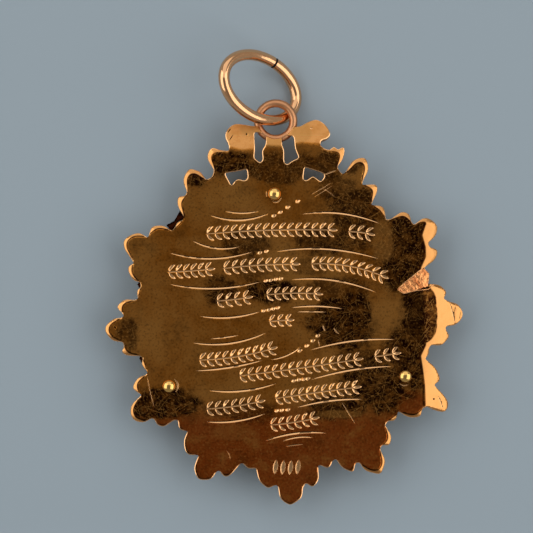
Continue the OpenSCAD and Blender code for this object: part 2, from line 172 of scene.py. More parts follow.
class CharmPlateSettings(bpy.types.PropertyGroup):
    relief_step: length(0.15, "Relief step", "Distance between the points of the back's surface")
    edge_blur: length(0.5, "Edge softness", "How wide the facet at the edge is")
    edge_drop: length(0.56, "Edge drop", "How far the facet would fall at a sharp tip")
    rim_width: length(0.07, "Rim width", "Width of the narrow bevel round every edge of the back")
    rim_depth: length(0.04, "Rim depth", "Depth of that bevel")
    line_width: length(0.24, "Line width", "Width of an engraved line at its middle")
    line_depth: length(0.085, "Line depth", "Depth of an engraved line at its middle")
    leaf_width: length(0.27, "Leaf width", "Width of one engraved laurel leaf")
    gold: colour("#dd9646", "Gold", "Polished rose gold under the lightest tone")
    hair: colour("#de9c4e", "Hairlines", "Fine scratches through the tone")
    clean: colour("#dd9c5a", "Clean gold", "Rose gold rubbed clean on folds and tips")
    toned: colour("#c07426", "Toned gold", "Gold under a thin brown tone")
    # This dark also serves as painted dark reflection in the tarnish blotches and over the rim, and as painted shade in
    # the left clefts and where the facets begin.
    dark: colour("#200a03", "Tarnish", "Dark tarnish where polish never reaches")
    red: colour("#b04e1a", "Red tone", "The redder tone at the charm's foot")
    cut: colour("#f3ba80", "Bright cut", "Freshly cut gold in the engraving")
    repair: colour("#f4a566", "Repair", "The rough pinkish repair")
    solder: colour("#b98648", "Solder", "Dull solder at the small ring's joints")


class CharmRingSettings(bpy.types.PropertyGroup):
    wire: length(0.56, "Wire radius", "Radius of the split ring's wire")
    half_length: length(4.61, "Half length", "Half of the split ring's length, to the middle of its wire")
    half_width: length(3.15, "Half width", "Half of the split ring's width, to the middle of its wire")
    cut: length(0.17, "Cut", "Width of the saw cut")
    gold: colour("#edb482", "Split ring gold", "Polished rose gold of the split ring")
    soldered: colour("#cf9468", "Soldered ring gold", "The redder gold of the small soldered ring")


class CharmPinSettings(bpy.types.PropertyGroup):
    head: length(0.63, "Head radius", "Radius of a pin's low domed head")
    rise: length(0.42, "Head rise", "How far the head's dome rises")
    shank: length(0.38, "Shank radius", "Radius of a pin's shank")
    gold: colour("#efbe6c", "Pin gold", "Polished yellow gold of the pins and the emblem")


class CharmStageSettings(bpy.types.PropertyGroup):
    floor: colour("#98a5ad", "Floor", "Plain pale floor")
    distance: length(300, "Camera distance", "Height of the camera above the plate")
    side_light: bpy.props.FloatProperty(name="Side light", description="Strength of the panels", default=1.0)


def deselect():
    bpy.ops.object.select_all(action="DESELECT")


def choose(piece):
    """Makes one object the only one selected, and the active one."""
    deselect()
    piece.select_set(True)
    bpy.context.view_layer.objects.active = piece


@contextmanager
def edit_mode(selection="SELECT"):
    """The active piece's edit mode, entered with everything selected, or with None as it was left."""
    bpy.ops.object.mode_set(mode="EDIT")
    if selection:
        bpy.ops.mesh.select_all(action=selection)
    yield
    bpy.ops.object.mode_set(mode="OBJECT")


def apply_place(piece):
    choose(piece)
    bpy.ops.object.transform_apply(location=True, rotation=True, scale=True)


def copy_of_node(node, name):
    """A copy of a CAD node as a closed mesh, for the piece that replaces it."""
    piece = bpy.data.objects.new(name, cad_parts[node].data.copy())
    bpy.context.scene.collection.objects.link(piece)
    choose(piece)
    with edit_mode():
        bpy.ops.mesh.remove_doubles(threshold=SAME_POINT)
    piece.data.materials.clear()
    return piece


def combine(piece, other, operation):
    """Joins, cuts or crosses a piece with another solid, which is then deleted."""
    choose(piece)
    modifier = piece.modifiers.new(operation.lower(), "BOOLEAN")
    modifier.operation = operation
    modifier.solver = "MANIFOLD"
    modifier.object = other
    bpy.ops.object.modifier_apply(modifier=modifier.name)
    bpy.data.objects.remove(other)


def paint(piece, *materials, slot=0):
    """Gives a piece its materials, and all its faces the one in this slot."""
    piece.data.materials.clear()
    for material in materials:
        piece.data.materials.append(material)
    for face in piece.data.polygons:
        face.material_index = slot


def finish_piece(piece, degrees, node):
    """Shades a piece smooth over edges up to this angle, and puts it in its CAD node's place."""
    choose(piece)
    bpy.ops.object.shade_smooth_by_angle(angle=radians(degrees))
    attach(piece, "root")
    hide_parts(node)


def ramp(value, start, end):
    """0 before start, 1 past end, and even between them."""
    return np.clip((value - start) / (end - start), 0, 1)


class BackSurface:
    """The height of the polished back over a grid of points: folded, and faceted along its pierced outline."""

    FACET_START, FACET_END = 0.29, 0.99  # as edge_at tells: 0 is well inside the plate and 0.5 is a straight edge
    SKIM = 0.012  # how far the finished back lies below the CAD's
    FLUTES, FLUTE_DEPTH, FLUTE_MIDDLE = 48, 0.12, 1.5  # of the hidden front, the last as a place on Y
    FRONT_SKIM = 0.02

    def __init__(self, settings):
        # The grid's spacing, its lowest corner and its points.
        self.step = 0.08
        self.low = (-19.2, -18.4)
        self.count = (480, 540)
        inside = self.inside_the_outline()
        blur = settings.edge_blur / MM / self.step
        reach = int(3 * blur)
        weights = np.exp(-0.5 * (np.arange(-reach, reach + 1) / blur) ** 2)
        weights /= weights.sum()
        for axis in (0, 1):
            inside = np.apply_along_axis(lambda row: np.convolve(row, weights, mode="same"), axis, inside)
        self.edge = 1 - inside
        self.drop = settings.edge_drop / MM

    def inside_the_outline(self):
        """1 where the plate lies below a grid point and 0 elsewhere, found by rays on the CAD node."""
        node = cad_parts["back_plate"]
        tree = BVHTree.FromPolygons([v.co for v in node.data.vertices], [p.vertices for p in node.data.polygons])
        inside = np.zeros(self.count)
        down = Vector((0, 0, -1))
        for i in range(self.count[0]):
            x = self.low[0] + i * self.step
            for j in range(self.count[1]):
                y = self.low[1] + j * self.step
                hit = tree.ray_cast(Vector((x * MM, y * MM, 0.01)), down)[0]
                if hit is not None and hit.z / MM > folded(x, y) - BACK_DEPTH:
                    inside[i, j] = 1
        grid_x = self.low[0] + np.arange(self.count[0]) * self.step
        grid_y = self.low[1] + np.arange(self.count[1]) * self.step
        for left, right, bottom, top in CREST_OPENINGS:
            inside[np.ix_((grid_x > left) & (grid_x < right), (grid_y > bottom) & (grid_y < top))] = 1
        return inside

    def edge_at(self, x, y):
        """How near the edge a point is: 0 well inside the plate, 0.5 on a straight edge, more at a tip."""
        u = np.clip((np.asarray(x, float) - self.low[0]) / self.step, 0, self.count[0] - 2)
        v = np.clip((np.asarray(y, float) - self.low[1]) / self.step, 0, self.count[1] - 2)
        i, j = u.astype(int), v.astype(int)
        p, q = u - i, v - j
        e = self.edge
        return ((1 - p) * (1 - q) * e[i, j] + p * (1 - q) * e[i + 1, j]
                + (1 - p) * q * e[i, j + 1] + p * q * e[i + 1, j + 1])

    def top(self, x, y):
        """The back: flat, with a facet along the edge that is narrow in a notch and wide on a leaf's tip.

        The upper leaves' facets are a little wider, and those of the foot and the crest are almost none.
        """
        x, y = np.asarray(x, float), np.asarray(y, float)
        facet = self.edge_at(x, y) - self.FACET_START + 0.06 * ramp(y, 11, 13)
        facet = np.clip(facet, 0, self.FACET_END - self.FACET_START)
        foot = ramp(y, -7, -8.5) * ramp(x, -14.5, -13.7) * ramp(x, 7.5, 6.7)
        share = (1 - 0.9 * foot) * (1 - 0.92 * ramp(y, 18.4, 19.2))
        return folded(x, y) - self.SKIM - self.drop * facet * share + waves(x, y)

    def bottom(self, x, y):
        """The hidden front: shallow flutes that run out into the leaves."""
        rounding = 0.5 * np.minimum(self.edge_at(x, y), 0.6) ** 2
        across = np.asarray(y) - self.FLUTE_MIDDLE
        flutes = 0.5 + 0.5 * np.cos(np.arctan2(across, x) * self.FLUTES)
        flutes = self.FLUTE_DEPTH * flutes * ramp(np.hypot(x, across), 11.5, 14.5)
        return folded(x, y) - PLATE_T + self.FRONT_SKIM + flutes + rounding


def bend(distance, degrees, softness):
    """How far a sheet falls at a distance past a soft fold."""
    t = np.clip(np.asarray(distance, float) / softness, -30, 30)
    return tan(radians(degrees)) * softness * np.log1p(np.exp(t))


def folded(x, y):
    """The height of the plate's back, bent down at the right-hand rim and at the crest."""
    line_y, line_x = zip(*RIM_LINE)
    past_rim = np.asarray(x) - np.interp(y, line_y, line_x)
    crest_x, crest_y = zip(*CREST_LINE)
    past_crest = np.asarray(y) - np.interp(x, crest_x, crest_y)
    return BACK_Z - bend(past_rim, RIM_BEND, 0.1) - bend(past_crest, CREST_BEND, 0.2)


def waves(x, y):
    """Slow waves of a hand-polished sheet, less than a hundredth of a millimetre deep."""
    x, y = np.asarray(x, float), np.asarray(y, float)
    return -0.004 * (1 + np.sin(0.31 * x + 0.9) * np.cos(0.27 * y - 0.4))


def close_block(drop):
    """Makes an open grid, the active piece, a closed block that reaches drop millimetres below it."""
    with edit_mode():
        bpy.ops.mesh.region_to_loop()
        bpy.ops.mesh.extrude_region_move(TRANSFORM_OT_translate={"value": (0, 0, -drop * MM)})
        bpy.ops.mesh.edge_face_add()
        bpy.ops.mesh.select_all(action="SELECT")
        bpy.ops.mesh.normals_make_consistent(inside=False)


def slab(height, step, thickness):
    """A block with a modelled face: a grid lifted to height(x, y), then drawn out by thickness to a flat end."""
    size, middle = np.array((38.0, 42.6)), np.array((0.0, 3.4))  # a little more than the plate and its small ring
    bpy.ops.mesh.primitive_grid_add(
        x_subdivisions=int(size[0] / step), y_subdivisions=int(size[1] / step), size=1, location=(0, 0, 0))
    piece = bpy.context.object
    places = np.zeros(len(piece.data.vertices) * 3)
    piece.data.vertices.foreach_get("co", places)
    places = places.reshape(-1, 3)
    places[:, :2] = places[:, :2] * size + middle
    places[:, 2] = height(places[:, 0], places[:, 1])
    rim = np.any(np.abs(places[:, :2] - middle) > size / 2 - step / 4, axis=1)
    places[rim, 2] = places[rim, 2].mean()
    piece.data.vertices.foreach_set("co", (places * MM).ravel())
    piece.data.update()
    close_block(thickness)
    return piece


def curve_points(line, count):
    """Points along the parabola through three points, given as six numbers."""
    start, via, end = np.reshape(np.array(line, float), (3, 2))
    share = np.linalg.norm(via - start) / (np.linalg.norm(via - start) + np.linalg.norm(end - via))
    pull = (via - start * (1 - share) ** 2 - end * share ** 2) / (2 * share * (1 - share))
    s = np.linspace(0, 1, count)[:, None]
    return start * (1 - s) ** 2 + pull * 2 * s * (1 - s) + end * s ** 2


def closed_mesh(name, corners, faces, materials, slots):
    """A solid from its corners in metres, its faces and their material slots, with its normals outward."""
    mesh = bpy.data.meshes.new(name)
    mesh.from_pydata(corners, [], faces)
    piece = bpy.data.objects.new(name, mesh)
    bpy.context.scene.collection.objects.link(piece)
    choose(piece)
    with edit_mode():
        bpy.ops.mesh.normals_make_consistent(inside=False)
    paint(piece, *materials)
    for face, slot in zip(mesh.polygons, slots):
        face.material_index = slot
    return piece


def span(line):
    """How far a line's end is from its start."""
    return np.linalg.norm(np.array(line[4:]) - np.array(line[:2]))


def sideways(points):
    """The unit vector to the left of a line at each of its points."""
    tangent = np.gradient(points, axis=0)
    tangent /= np.maximum(np.linalg.norm(tangent, axis=1), 1e-9)[:, None]
    return np.column_stack([-tangent[:, 1], tangent[:, 0]])


def outline_loops(piece):
    """The closed outlines of the back's face, in millimetres, with the metal to the left of each."""
    ahead = {}
    for face in piece.data.polygons:
        middle = face.center / MM
        if face.normal.z > 0.9 and middle.z > folded(middle.x, middle.y) - BACK_DEPTH:
            corners = face.vertices
            for k in range(len(corners)):
                a, b = corners[k - 1], corners[k]
                if (b, a) in ahead:
                    del ahead[b, a]
                else:
                    ahead[a, b] = True
    following = {a: b for a, b in ahead}
    loops = []
    while following:
        first, at = following.popitem()
        loop = [first]
        while at != first:
            loop.append(at)
            at = following.pop(at)
        loops.append(np.array([piece.data.vertices[i].co[:2] for i in loop]) / MM)
    return loops


def even_loop(loop, spacing):
    """A closed line with its corners kept and its long sides divided."""
    points = []
    for a, b in zip(loop, np.roll(loop, -1, axis=0)):
        long = np.linalg.norm(b - a)
        if long > spacing / 2:
            count = max(1, int(round(long / spacing)))
            points += [a + (b - a) * k / count for k in range(count)]
    return np.array(points)


def bevel_outlines(piece, surface, source, width, depth, materials):
    """Takes a narrow bevel off every edge of the back, along its outline and round its pierced openings."""
    spacing, above = 0.24, 0.15  # between the bevel's points, and from its foot's edge up to the cutter's top
    outside, beyond = 0.03, 1.6  # how far the cutter passes the edge, and how many bevel widths it reaches inwards
    loops = outline_loops(source)
    bpy.data.objects.remove(source)
    for loop in loops:
        points = even_loop(loop, spacing)
        count = len(points)
        if count < 6:
            continue
        side = sideways(np.concatenate([points[-1:], points, points[:1]]))[1:-1]
        foot = surface.top(points[:, 0], points[:, 1]) - depth
        inner = points + side * width
        rise = surface.top(inner[:, 0], inner[:, 1]) - foot
        corners, faces = [], []
        for k in range(count):
            a = 3 * k
            b = 3 * ((k + 1) % count)
            far = points[k] + side[k] * width * beyond
            near = points[k] - side[k] * outside
            corners += [(far[0] * MM, far[1] * MM, (foot[k] + rise[k] * beyond) * MM),
                        (near[0] * MM, near[1] * MM, (foot[k] - rise[k] * outside / width) * MM),
                        (near[0] * MM, near[1] * MM, (foot[k] + depth + above) * MM)]
            faces += [(a, a + 1, b + 1, b), (a + 1, a + 2, b + 2, b + 1), (a + 2, a, b, b + 2)]
        combine(piece, closed_mesh("bevel", corners, faces, materials, [CUT_SLOT] * len(faces)), "DIFFERENCE")


class Graver:
    """Collects V-shaped cuts and takes them out of the plate, in layers in which no two cuts touch."""

    OVER = 0.06  # how far a cut's solid stands above the surface
    APART = 0.1  # the least distance between cuts in one layer, beside their half widths
    RISE = 0.25  # how far, in its own depths, a cut's ends rise out of the surface

    def __init__(self, surface):
        self.surface = surface
        self.layers = []

    def layer_for(self, points, half):
        """The first layer whose cuts all keep away from these points."""
        for layer in self.layers:
            far = np.linalg.norm(np.concatenate(layer["points"])[:, None] - points[None], axis=2)
            if np.all(far.min(axis=1) > np.concatenate(layer["halves"]) + half + self.APART):
                return layer
        self.layers.append({"points": [], "halves": [], "corners": [], "faces": [], "slots": []})
        return self.layers[-1]

    def cut(self, points, width, depth, fullness=0.5, lean=0.0, walls=(CUT_SLOT, CUT_SLOT)):
        """One cut along points in millimetres, tapering to both ends.

        lean moves its bottom to the left, and walls are the material slots of its left and its right wall.
        """
        points = np.asarray(points, float)
        count = len(points)
        slope = width / 2 / depth
        widest = (depth + self.OVER) * slope
        layer = self.layer_for(points, widest)
        layer["points"].append(points)
        layer["halves"].append(np.full(count, widest))
        corners = layer["corners"]
        side = sideways(points)
        swell = np.abs(np.sin(np.pi * np.linspace(0, 1, count))) ** fullness * (1 + self.RISE) - self.RISE
        z = self.surface.top(points[:, 0], points[:, 1])
        first = len(corners)
        for k in range(count):
            deep = depth * swell[k]
            half = (deep + self.OVER) * slope
            for sign in (1, -1):
                at = points[k] + side[k] * half * sign
                corners.append((at[0] * MM, at[1] * MM, (z[k] + self.OVER) * MM))
            at = points[k] + side[k] * half * lean
            corners.append((at[0] * MM, at[1] * MM, (z[k] - deep) * MM))
        for k in range(count - 1):
            a, b = first + 3 * k, first + 3 * k + 3
            layer["faces"] += [(a, a + 1, b + 1, b), (a + 1, a + 2, b + 2, b + 1), (a + 2, a, b, b + 2)]
            layer["slots"] += [CUT_SLOT, walls[1], walls[0]]
        last = first + 3 * (count - 1)
        layer["faces"] += [(first, first + 2, first + 1), (last, last + 1, last + 2)]
        layer["slots"] += [CUT_SLOT, CUT_SLOT]

    def stroke(self, middle, direction, long, width, depth, fullness=0.7, lean=0.0):
        """A short straight cut in the shape of a willow leaf."""
        way = np.array([cos(radians(direction)), sin(radians(direction))])
        s = np.linspace(-0.5, 0.5, 7)[:, None]
        self.cut(np.array(middle, float) + way * s * long, width, depth, fullness, lean)

    def engrave(self, piece, materials):
        for layer in self.layers:
            cuts = closed_mesh("cuts", layer["corners"], layer["faces"], materials, layer["slots"])
            combine(piece, cuts, "DIFFERENCE")


def laurel(graver, line, height, leaf_width):
    """A sprig: one thin stem with bright-cut leaves in pairs that point forward, and one leaf at its tip."""
    apart = 0.8  # between two pairs
    count = max(2, int(round(span(line) / apart)))
    stem = curve_points(line, count * 4 + 1)
    graver.cut(stem, width=0.13, depth=0.05, fullness=0.2)
    for k in range(count):
        root = stem[4 * k + 1]
        way = stem[4 * k + 3] - root
        angle = atan2(way[1], way[0])
        for sign in (1, -1) if k < count - 1 else (1, 0, -1):
            # A leaf leaves the stem at 62 degrees and bends forward to 34.
            first = angle + sign * radians(62)
            last = angle + sign * radians(34)
            middle = root + np.array([cos(first), sin(first)]) * height * 0.3
            tip = middle + np.array([cos(last), sin(last)]) * height * 0.44
            graver.cut(curve_points((*root, *middle, *tip), 8), leaf_width, leaf_width * 0.36, 0.6)


def new_material(name):
    material = bpy.data.materials.new(name)
    material.use_nodes = True
    material.node_tree.nodes.clear()
    return material


def add(owner, kind, inputs=(), **settings):
    """Adds a shader node to a material or world, with its inputs by name or in their order.

    An input takes a value, a socket, or a node for its first output. In their order, those of a MapRange are the
    value, the two ends of its own range and what it becomes at each of them.
    """
    tree = owner.node_tree
    node = tree.nodes.new("ShaderNode" + kind)
    for key, value in settings.items():
        setattr(node, key, value)
    for key, value in inputs.items() if isinstance(inputs, dict) else enumerate(inputs):
        if isinstance(value, bpy.types.Node):
            value = value.outputs[0]
        if isinstance(value, bpy.types.NodeSocket):
            tree.links.new(value, node.inputs[key])
        else:
            node.inputs[key].default_value = value
    return node


def metal(m, base, roughness, relief):
    """Bare metal with its colour and gloss, and its relief as pairs of a height node and a depth in metres."""
    below = {}
    for height, depth in relief:
        below = {"Normal": add(m, "Bump", {"Height": height, "Distance": depth, "Strength": 1.0, **below})}
    shader = add(m, "BsdfPrincipled", {"Metallic": 1.0, "Base Color": base, "Roughness": roughness, **below})
    add(m, "OutputMaterial", {"Surface": shader})
    return m


def hairlines(m, where, turns, scale, least):
    """Fine straight scratches in several directions, far longer than wide: 1 on a scratch and 0 beside it."""
    mask = 0.0
    for k, turn in enumerate(turns):
        turned = add(m, "Mapping", (where, (k * 7 * MM, k * 3 * MM, 0), (0, 0, radians(turn)), (1, 1 / 34, 1)),
                     vector_type="TEXTURE")
        noise = add(m, "TexNoise", {"Vector": turned, "Scale": scale, "Detail": 1.0})
        line = add(m, "MapRange", (noise, least, least + 0.03))
        mask = add(m, "Math", (mask, line), operation="MAXIMUM")
    return mask


def ovals(m, where, wander, table, soft=0.225):
    """A table of ovals as one mask, their edges wandering and soft; where two meet the denser one counts."""
    mask = 0.0
    edge_at = 0.975  # in half widths
    for x, y, half_wide, half_tall, density in table:
        oval = add(m, "Mapping", (where, (x * MM, y * MM, 0), (0, 0, 0), (half_wide * MM, half_tall * MM, 1)),
                   vector_type="TEXTURE")
        flat = add(m, "VectorMath", (oval, (1, 1, 0)), operation="MULTIPLY")
        far = add(m, "VectorMath", {0: flat}, operation="LENGTH").outputs["Value"]
        edge = add(m, "Math", (far, wander), operation="ADD")
        inside = add(m, "MapRange", (edge, edge_at + soft, edge_at - soft, 0.0, density),
                     interpolation_type="SMOOTHSTEP")
        mask = add(m, "Math", (mask, inside), operation="MAXIMUM")
    return mask


def rose_gold_plate(s):
    """Polished 14 karat rose gold, toned brown, blotched dark where tarnished and with painted dark reflection, with
    painted shade in its left clefts and where its facets begin, and rubbed clean on its folds and tips.
    """
    m = new_material("rose_gold_polished_and_toned")
    coordinates = add(m, "TexCoord").outputs
    where = coordinates["Object"]
    place = add(m, "SeparateXYZ", {"Vector": where}).outputs
    facing = add(m, "SeparateXYZ", {"Vector": coordinates["Normal"]}).outputs
    # Clouds of some 5 mm, patches of 2 mm, mottling of 1 mm and grains of 0.2 mm.
    clouds, patches, mottle, grain = (
        add(m, "TexNoise", {"Vector": where, "Scale": scale, "Detail": detail, "Roughness": roughness})
        for scale, detail, roughness in ((190.0, 3.0, 0.5), (520.0, 4.0, 0.65), (1100.0, 5.0, 0.7), (4500.0, 2.0, 0.5)))
    # Masks: where each one starts and where it is full, as values of its source, and how strong it is then. The
    # folded rims and rounded tips lie lower than the flat back, and there the tone is rubbed off. Where the flat
    # ends and they begin, a thin dark line of painted shade is laid, but not along the crest's fold.
    lighter, browner, paler, specks, pits, line, bared, low, below_crest, on_back = (
        add(m, "MapRange", (source, first, full, 0.0, strength))
        for source, first, full, strength in (
            (clouds, 0.4, 0.66, 1.0), (patches, 0.52, 0.68, 0.34), (patches, 0.46, 0.34, 0.4),
            (grain, 0.57, 0.72, 0.45), (grain, 0.47, 0.3, 0.4),
            (place["Z"], (BACK_Z - 0.022) * MM, (BACK_Z - 0.032) * MM, 1.0),
            (place["Z"], (BACK_Z - 0.062) * MM, (BACK_Z - 0.085) * MM, 0.95),
            (place["Z"], (BACK_Z - 0.4) * MM, (BACK_Z - 0.55) * MM, 1.0),
            (place["Y"], 18.3 * MM, 17.5 * MM, 0.96), (facing["Z"], -0.5, -0.2, 1.0)))
    # How the ovals' edges wander: slightly on the rim, and by up to half their width elsewhere.
    wander = add(m, "MapRange", (clouds, 0.2, 0.8, -0.55, 0.55))
    ragged = add(m, "Math", (mottle, 0.9, wander), operation="MULTIPLY_ADD")
    centred = add(m, "Math", (ragged, 0.45), operation="SUBTRACT")
    slight = add(m, "Math", (centred, 0.16), operation="MULTIPLY")
    foot = add(m, "MapRange", (place["Y"], -5.8 * MM, -9.2 * MM, 0.0, 0.85), interpolation_type="SMOOTHSTEP")
    reddened = add(m, "Math", (foot, ovals(m, where, centred, RED_LEAVES)), operation="MAXIMUM")
    # The dark over the rim, tarnished metal and painted reflection, and the painted shade of the left clefts belong to
    # the back, so they end where a face looks down.
    rim_tarnish_and_reflection = add(m, "Math", (ovals(m, where, slight, RIM_TARNISH_AND_REFLECTION, 0.04), on_back), operation="MULTIPLY")
    clear_of_rim_darkening = add(m, "Math", (1.0, rim_tarnish_and_reflection), operation="SUBTRACT")
    blotches = add(m, "Math", (ovals(m, where, centred, TARNISH_AND_REFLECTION_OVALS), rim_tarnish_and_reflection), operation="MAXIMUM")
    # The blotches' density, mottled: their tarnish and their painted dark reflection alike.
    blotch_density = add(m, "MapRange", (mottle, 0.45, 0.66, 1.0, 0.8))
    tarnish_and_reflection = add(m, "Math", (blotches, blotch_density), operation="MULTIPLY")
    lines = hairlines(m, where, (8, 31, 52, 77, 104, 129, 161), 380.0, 0.7)
    visible = add(m, "MapRange", (tarnish_and_reflection, 0.0, 1.0, 0.14, 0.42))
    # The painted shade line where the facets begin, kept off the crest and off the rim's dark.
    crease_shade_off_crest = add(m, "Math", (line, below_crest), operation="MULTIPLY")
    # Painted shade: the dark colour laid into the left clefts, on their sunk lower leaves only.
    notch_shade = add(m, "Math", (ovals(m, where, 0.0, NOTCH_SHADE_SPOTS), low), operation="MULTIPLY")
    faint, crease_shade, rubbed, rim_darkening_over_rub, shade = (
        add(m, "Math", (mask, share), operation="MULTIPLY") for mask, share in (
            (lines, visible), (crease_shade_off_crest, clear_of_rim_darkening), (bared, clear_of_rim_darkening), (rim_tarnish_and_reflection, 0.45), (notch_shade, on_back)))
    # The crest is less evenly rubbed than the rim, and the heat of the soldering has left it duller.
    blotched = add(m, "MapRange", (place["Y"], 17.0 * MM, 19.0 * MM, 0.2, 0.5))
    uneven = add(m, "MapRange", (mottle, 0.48, 0.7, 0.0, blotched))
    heated = add(m, "MapRange", (place["Y"], 19.4 * MM, 20.8 * MM, 0.18, 0.42))
    rough = add(m, "MapRange", (tarnish_and_reflection, 0.0, 1.0, heated, 0.32))
    tone = tuple(s.toned)
    for mask, over in (
            (lighter, s.gold), (reddened, s.red), (browner, s.dark), (paler, s.gold), (tarnish_and_reflection, s.dark),
            (ovals(m, where, centred, WIPED), s.gold), (specks, s.hair), (pits, s.dark), (faint, s.hair),
            (crease_shade, s.dark), (rubbed, s.clean), (uneven, s.toned), (ovals(m, where, centred, SOLDER), s.solder),
            (rim_darkening_over_rub, s.dark), (shade, s.dark)):
        tone = add(m, "Mix", {0: mask, 6: tone, 7: tuple(over)}, data_type="RGBA").outputs[2]
    return metal(m, tone, rough, [(clouds, 0.06 * MM), (mottle, 0.008 * MM)])


def bright_cut_gold(s):
    """Gold fresh from the graver: bare, bright facets with no tone on them."""
    m = new_material("rose_gold_bright_cut")
    where = add(m, "TexCoord").outputs["Object"]
    fine = add(m, "TexNoise", {"Vector": where, "Scale": 3000.0, "Detail": 2.0})
    return metal(m, tuple(s.cut), 0.2, [(fine, 0.006 * MM)])


def dirt_and_shade_gold(s):
    """Old grime in a dent or the saw cut, and painted shade on an engraved line's steep upper wall: nearly black, with
    a brown gleam of the gold under it.
    """
    m = new_material("rose_gold_dirt_and_shade")
    where = add(m, "TexCoord").outputs["Object"]
    crumbs = add(m, "TexNoise", {"Vector": where, "Scale": 5000.0, "Detail": 2.0})
    bare = add(m, "MapRange", (crumbs, 0.55, 0.7, 0.0, 0.12))
    tone = add(m, "Mix", {0: bare, 6: tuple(s.dark), 7: tuple(s.toned)}, data_type="RGBA").outputs[2]
    return metal(m, tone, 0.45, [(crumbs, 0.02 * MM)])


def rough_repair_gold(s):
    """Solder left as it froze and filed once: streaked, with a sugary grain of a few tenths of a millimetre."""
    m = new_material("rose_gold_solder_unfinished")
    where = add(m, "TexCoord").outputs["Object"]
    grain = add(m, "TexVoronoi", {"Vector": where, "Scale": 2600.0})
    filed = add(m, "Mapping", (where, (0, 0, 0), (0, 0, radians(-52)), (1, 0.22, 1)), vector_type="TEXTURE")
    streaks = add(m, "TexNoise", {"Vector": filed, "Scale": 420.0, "Detail": 3.0})
    pits = add(m, "MapRange", (streaks, 0.48, 0.66, 0.0, 0.7))
    tone = add(m, "Mix", {0: pits, 6: tuple(s.repair), 7: tuple(s.red)}, data_type="RGBA").outputs[2]
    return metal(m, tone, 0.34, [(streaks, 0.16 * MM), (grain, 0.03 * MM)])


def wire_gold(name, base, smoothest, roughest):
    """Drawn gold wire, polished or left soft after soldering, with slow waves and a few hairlines."""
    m = new_material(name)
    where = add(m, "TexCoord").outputs["Object"]
    slow = add(m, "TexNoise", {"Vector": where, "Scale": 450.0, "Detail": 3.0})
    fine = add(m, "TexNoise", {"Vector": where, "Scale": 3500.0, "Detail": 2.0})
    rough = add(m, "MapRange", (slow, 0.0, 1.0, smoothest, roughest))
    return metal(m, tuple(base), rough, [(slow, 0.03 * MM), (fine, 0.003 * MM)])


class OBJECT_OT_charm_back_plate(bpy.types.Operator):
    """Builds the back plate: rounded leaves, soft folds, engraving, the rough repair and the soldered ring"""
    bl_idname = "object.charm_back_plate"
    bl_label = "Back plate"

    SLAB, FRONT_STEP = 3.4, 0.3  # the relief blocks' thickness, and the front's spacing of points

    def execute(self, context):
        s = context.scene.charm_plate
        surface = BackSurface(s)
        piece = copy_of_node("back_plate", "BackPlate")
        materials = (rose_gold_plate(s), bright_cut_gold(s), rough_repair_gold(s),
                     wire_gold("rose_gold_ring_soldered", context.scene.charm_ring.soldered, 0.3, 0.5), dirt_and_shade_gold(s))
        paint(piece, *materials)
        combine(piece, slab(surface.top, s.relief_step / MM, self.SLAB), "INTERSECT")
        combine(piece, slab(surface.bottom, self.FRONT_STEP, -self.SLAB), "INTERSECT")
        source = copy_of_node("back_plate", "OutlineSource")
        bevel_outlines(piece, surface, source, s.rim_width / MM, s.rim_depth / MM, materials)
        combine(piece, self.repair_fill(materials), "UNION")
        combine(piece, self.soldered_ring(materials), "UNION")
        for graver in (self.dents(surface), self.engraving(surface, s)):
            graver.engrave(piece, materials)
        finish_piece(piece, 24, "back_plate")
        return {"FINISHED"}

    def repair_fill(self, materials):
        """The wedge filled with rough solder, its face grained and a little below the plate's."""
        middle, size = (13.3, 5.4), (4.4, 3.0)
        below, grain, thick = 0.1, 0.07, 0.6
        bpy.ops.mesh.primitive_grid_add(x_subdivisions=44, y_subdivisions=30, size=1, location=(0, 0, 0))
        piece = bpy.context.object
        rng = np.random.default_rng(5)
        for vertex in piece.data.vertices:
            x, y = middle[0] + vertex.co.x * size[0], middle[1] + vertex.co.y * size[1]
            z = float(folded(x, y)) - below + rng.uniform(-grain, grain)
            vertex.co = (x * MM, y * MM, z * MM)
        close_block(thick)
        paint(piece, *materials, slot=REPAIR_SLOT)
        count = len(REPAIR)
        corners = [(x * MM, y * MM, z * MM) for z in (3.0, 4.0) for x, y in REPAIR]
        sides = [(i, (i + 1) % count, (i + 1) % count + count, i + count) for i in range(count)]
        ends = [tuple(range(count)), tuple(range(count, 2 * count))]
        wedge = closed_mesh("wedge", corners, sides + ends, materials, [REPAIR_SLOT] * (count + 2))
        combine(piece, wedge, "INTERSECT")
        return piece

    def soldered_ring(self, materials):
        x, y, z, radius, wire = (v * MM for v in SMALL_RING)
        bpy.ops.mesh.primitive_torus_add(
            location=(x, y, z), major_radius=radius, minor_radius=wire, major_segments=96, minor_segments=28)
        ring = bpy.context.object
        apply_place(ring)
        paint(ring, *materials, slot=RING_SLOT)
        return ring

    def dents(self, surface):
        graver = Graver(surface)
        for *line, wide in DENTS:
            graver.cut(curve_points(line, 7), wide, wide / 3, 0.8, walls=(DIRT_AND_SHADE_SLOT, DIRT_AND_SHADE_SLOT))
        return graver

    def engraving(self, surface, s):
        graver = Graver(surface)
        width, depth = s.line_width / MM, s.line_depth / MM
        for line in FLOURISHES:
            # A short one is cut finer. The steep upper wall gets painted shade, and the wide lower wall is bright.
            long = span(line)
            share = np.clip(0.55 + 0.11 * (long - 2), 0.55, 1)
            graver.cut(curve_points(line, max(12, int(long / 0.28))), width * share, depth * share,
                       lean=0.2, walls=(DIRT_AND_SHADE_SLOT, CUT_SLOT))
        for *line, height in LAURELS:
            laurel(graver, line, height, s.leaf_width / MM)
        for middle in DASHES:
            graver.stroke(middle, direction=25, long=0.56, width=0.3, depth=0.12, lean=0.45)
        for *line, wide in SCRATCHES:
            graver.cut(curve_points(line, 9), wide, wide / 3.6)
        for middle in PUNCHES:
            graver.stroke(middle, direction=82, long=1.7, width=0.5, depth=0.13, fullness=0.8)
        return graver


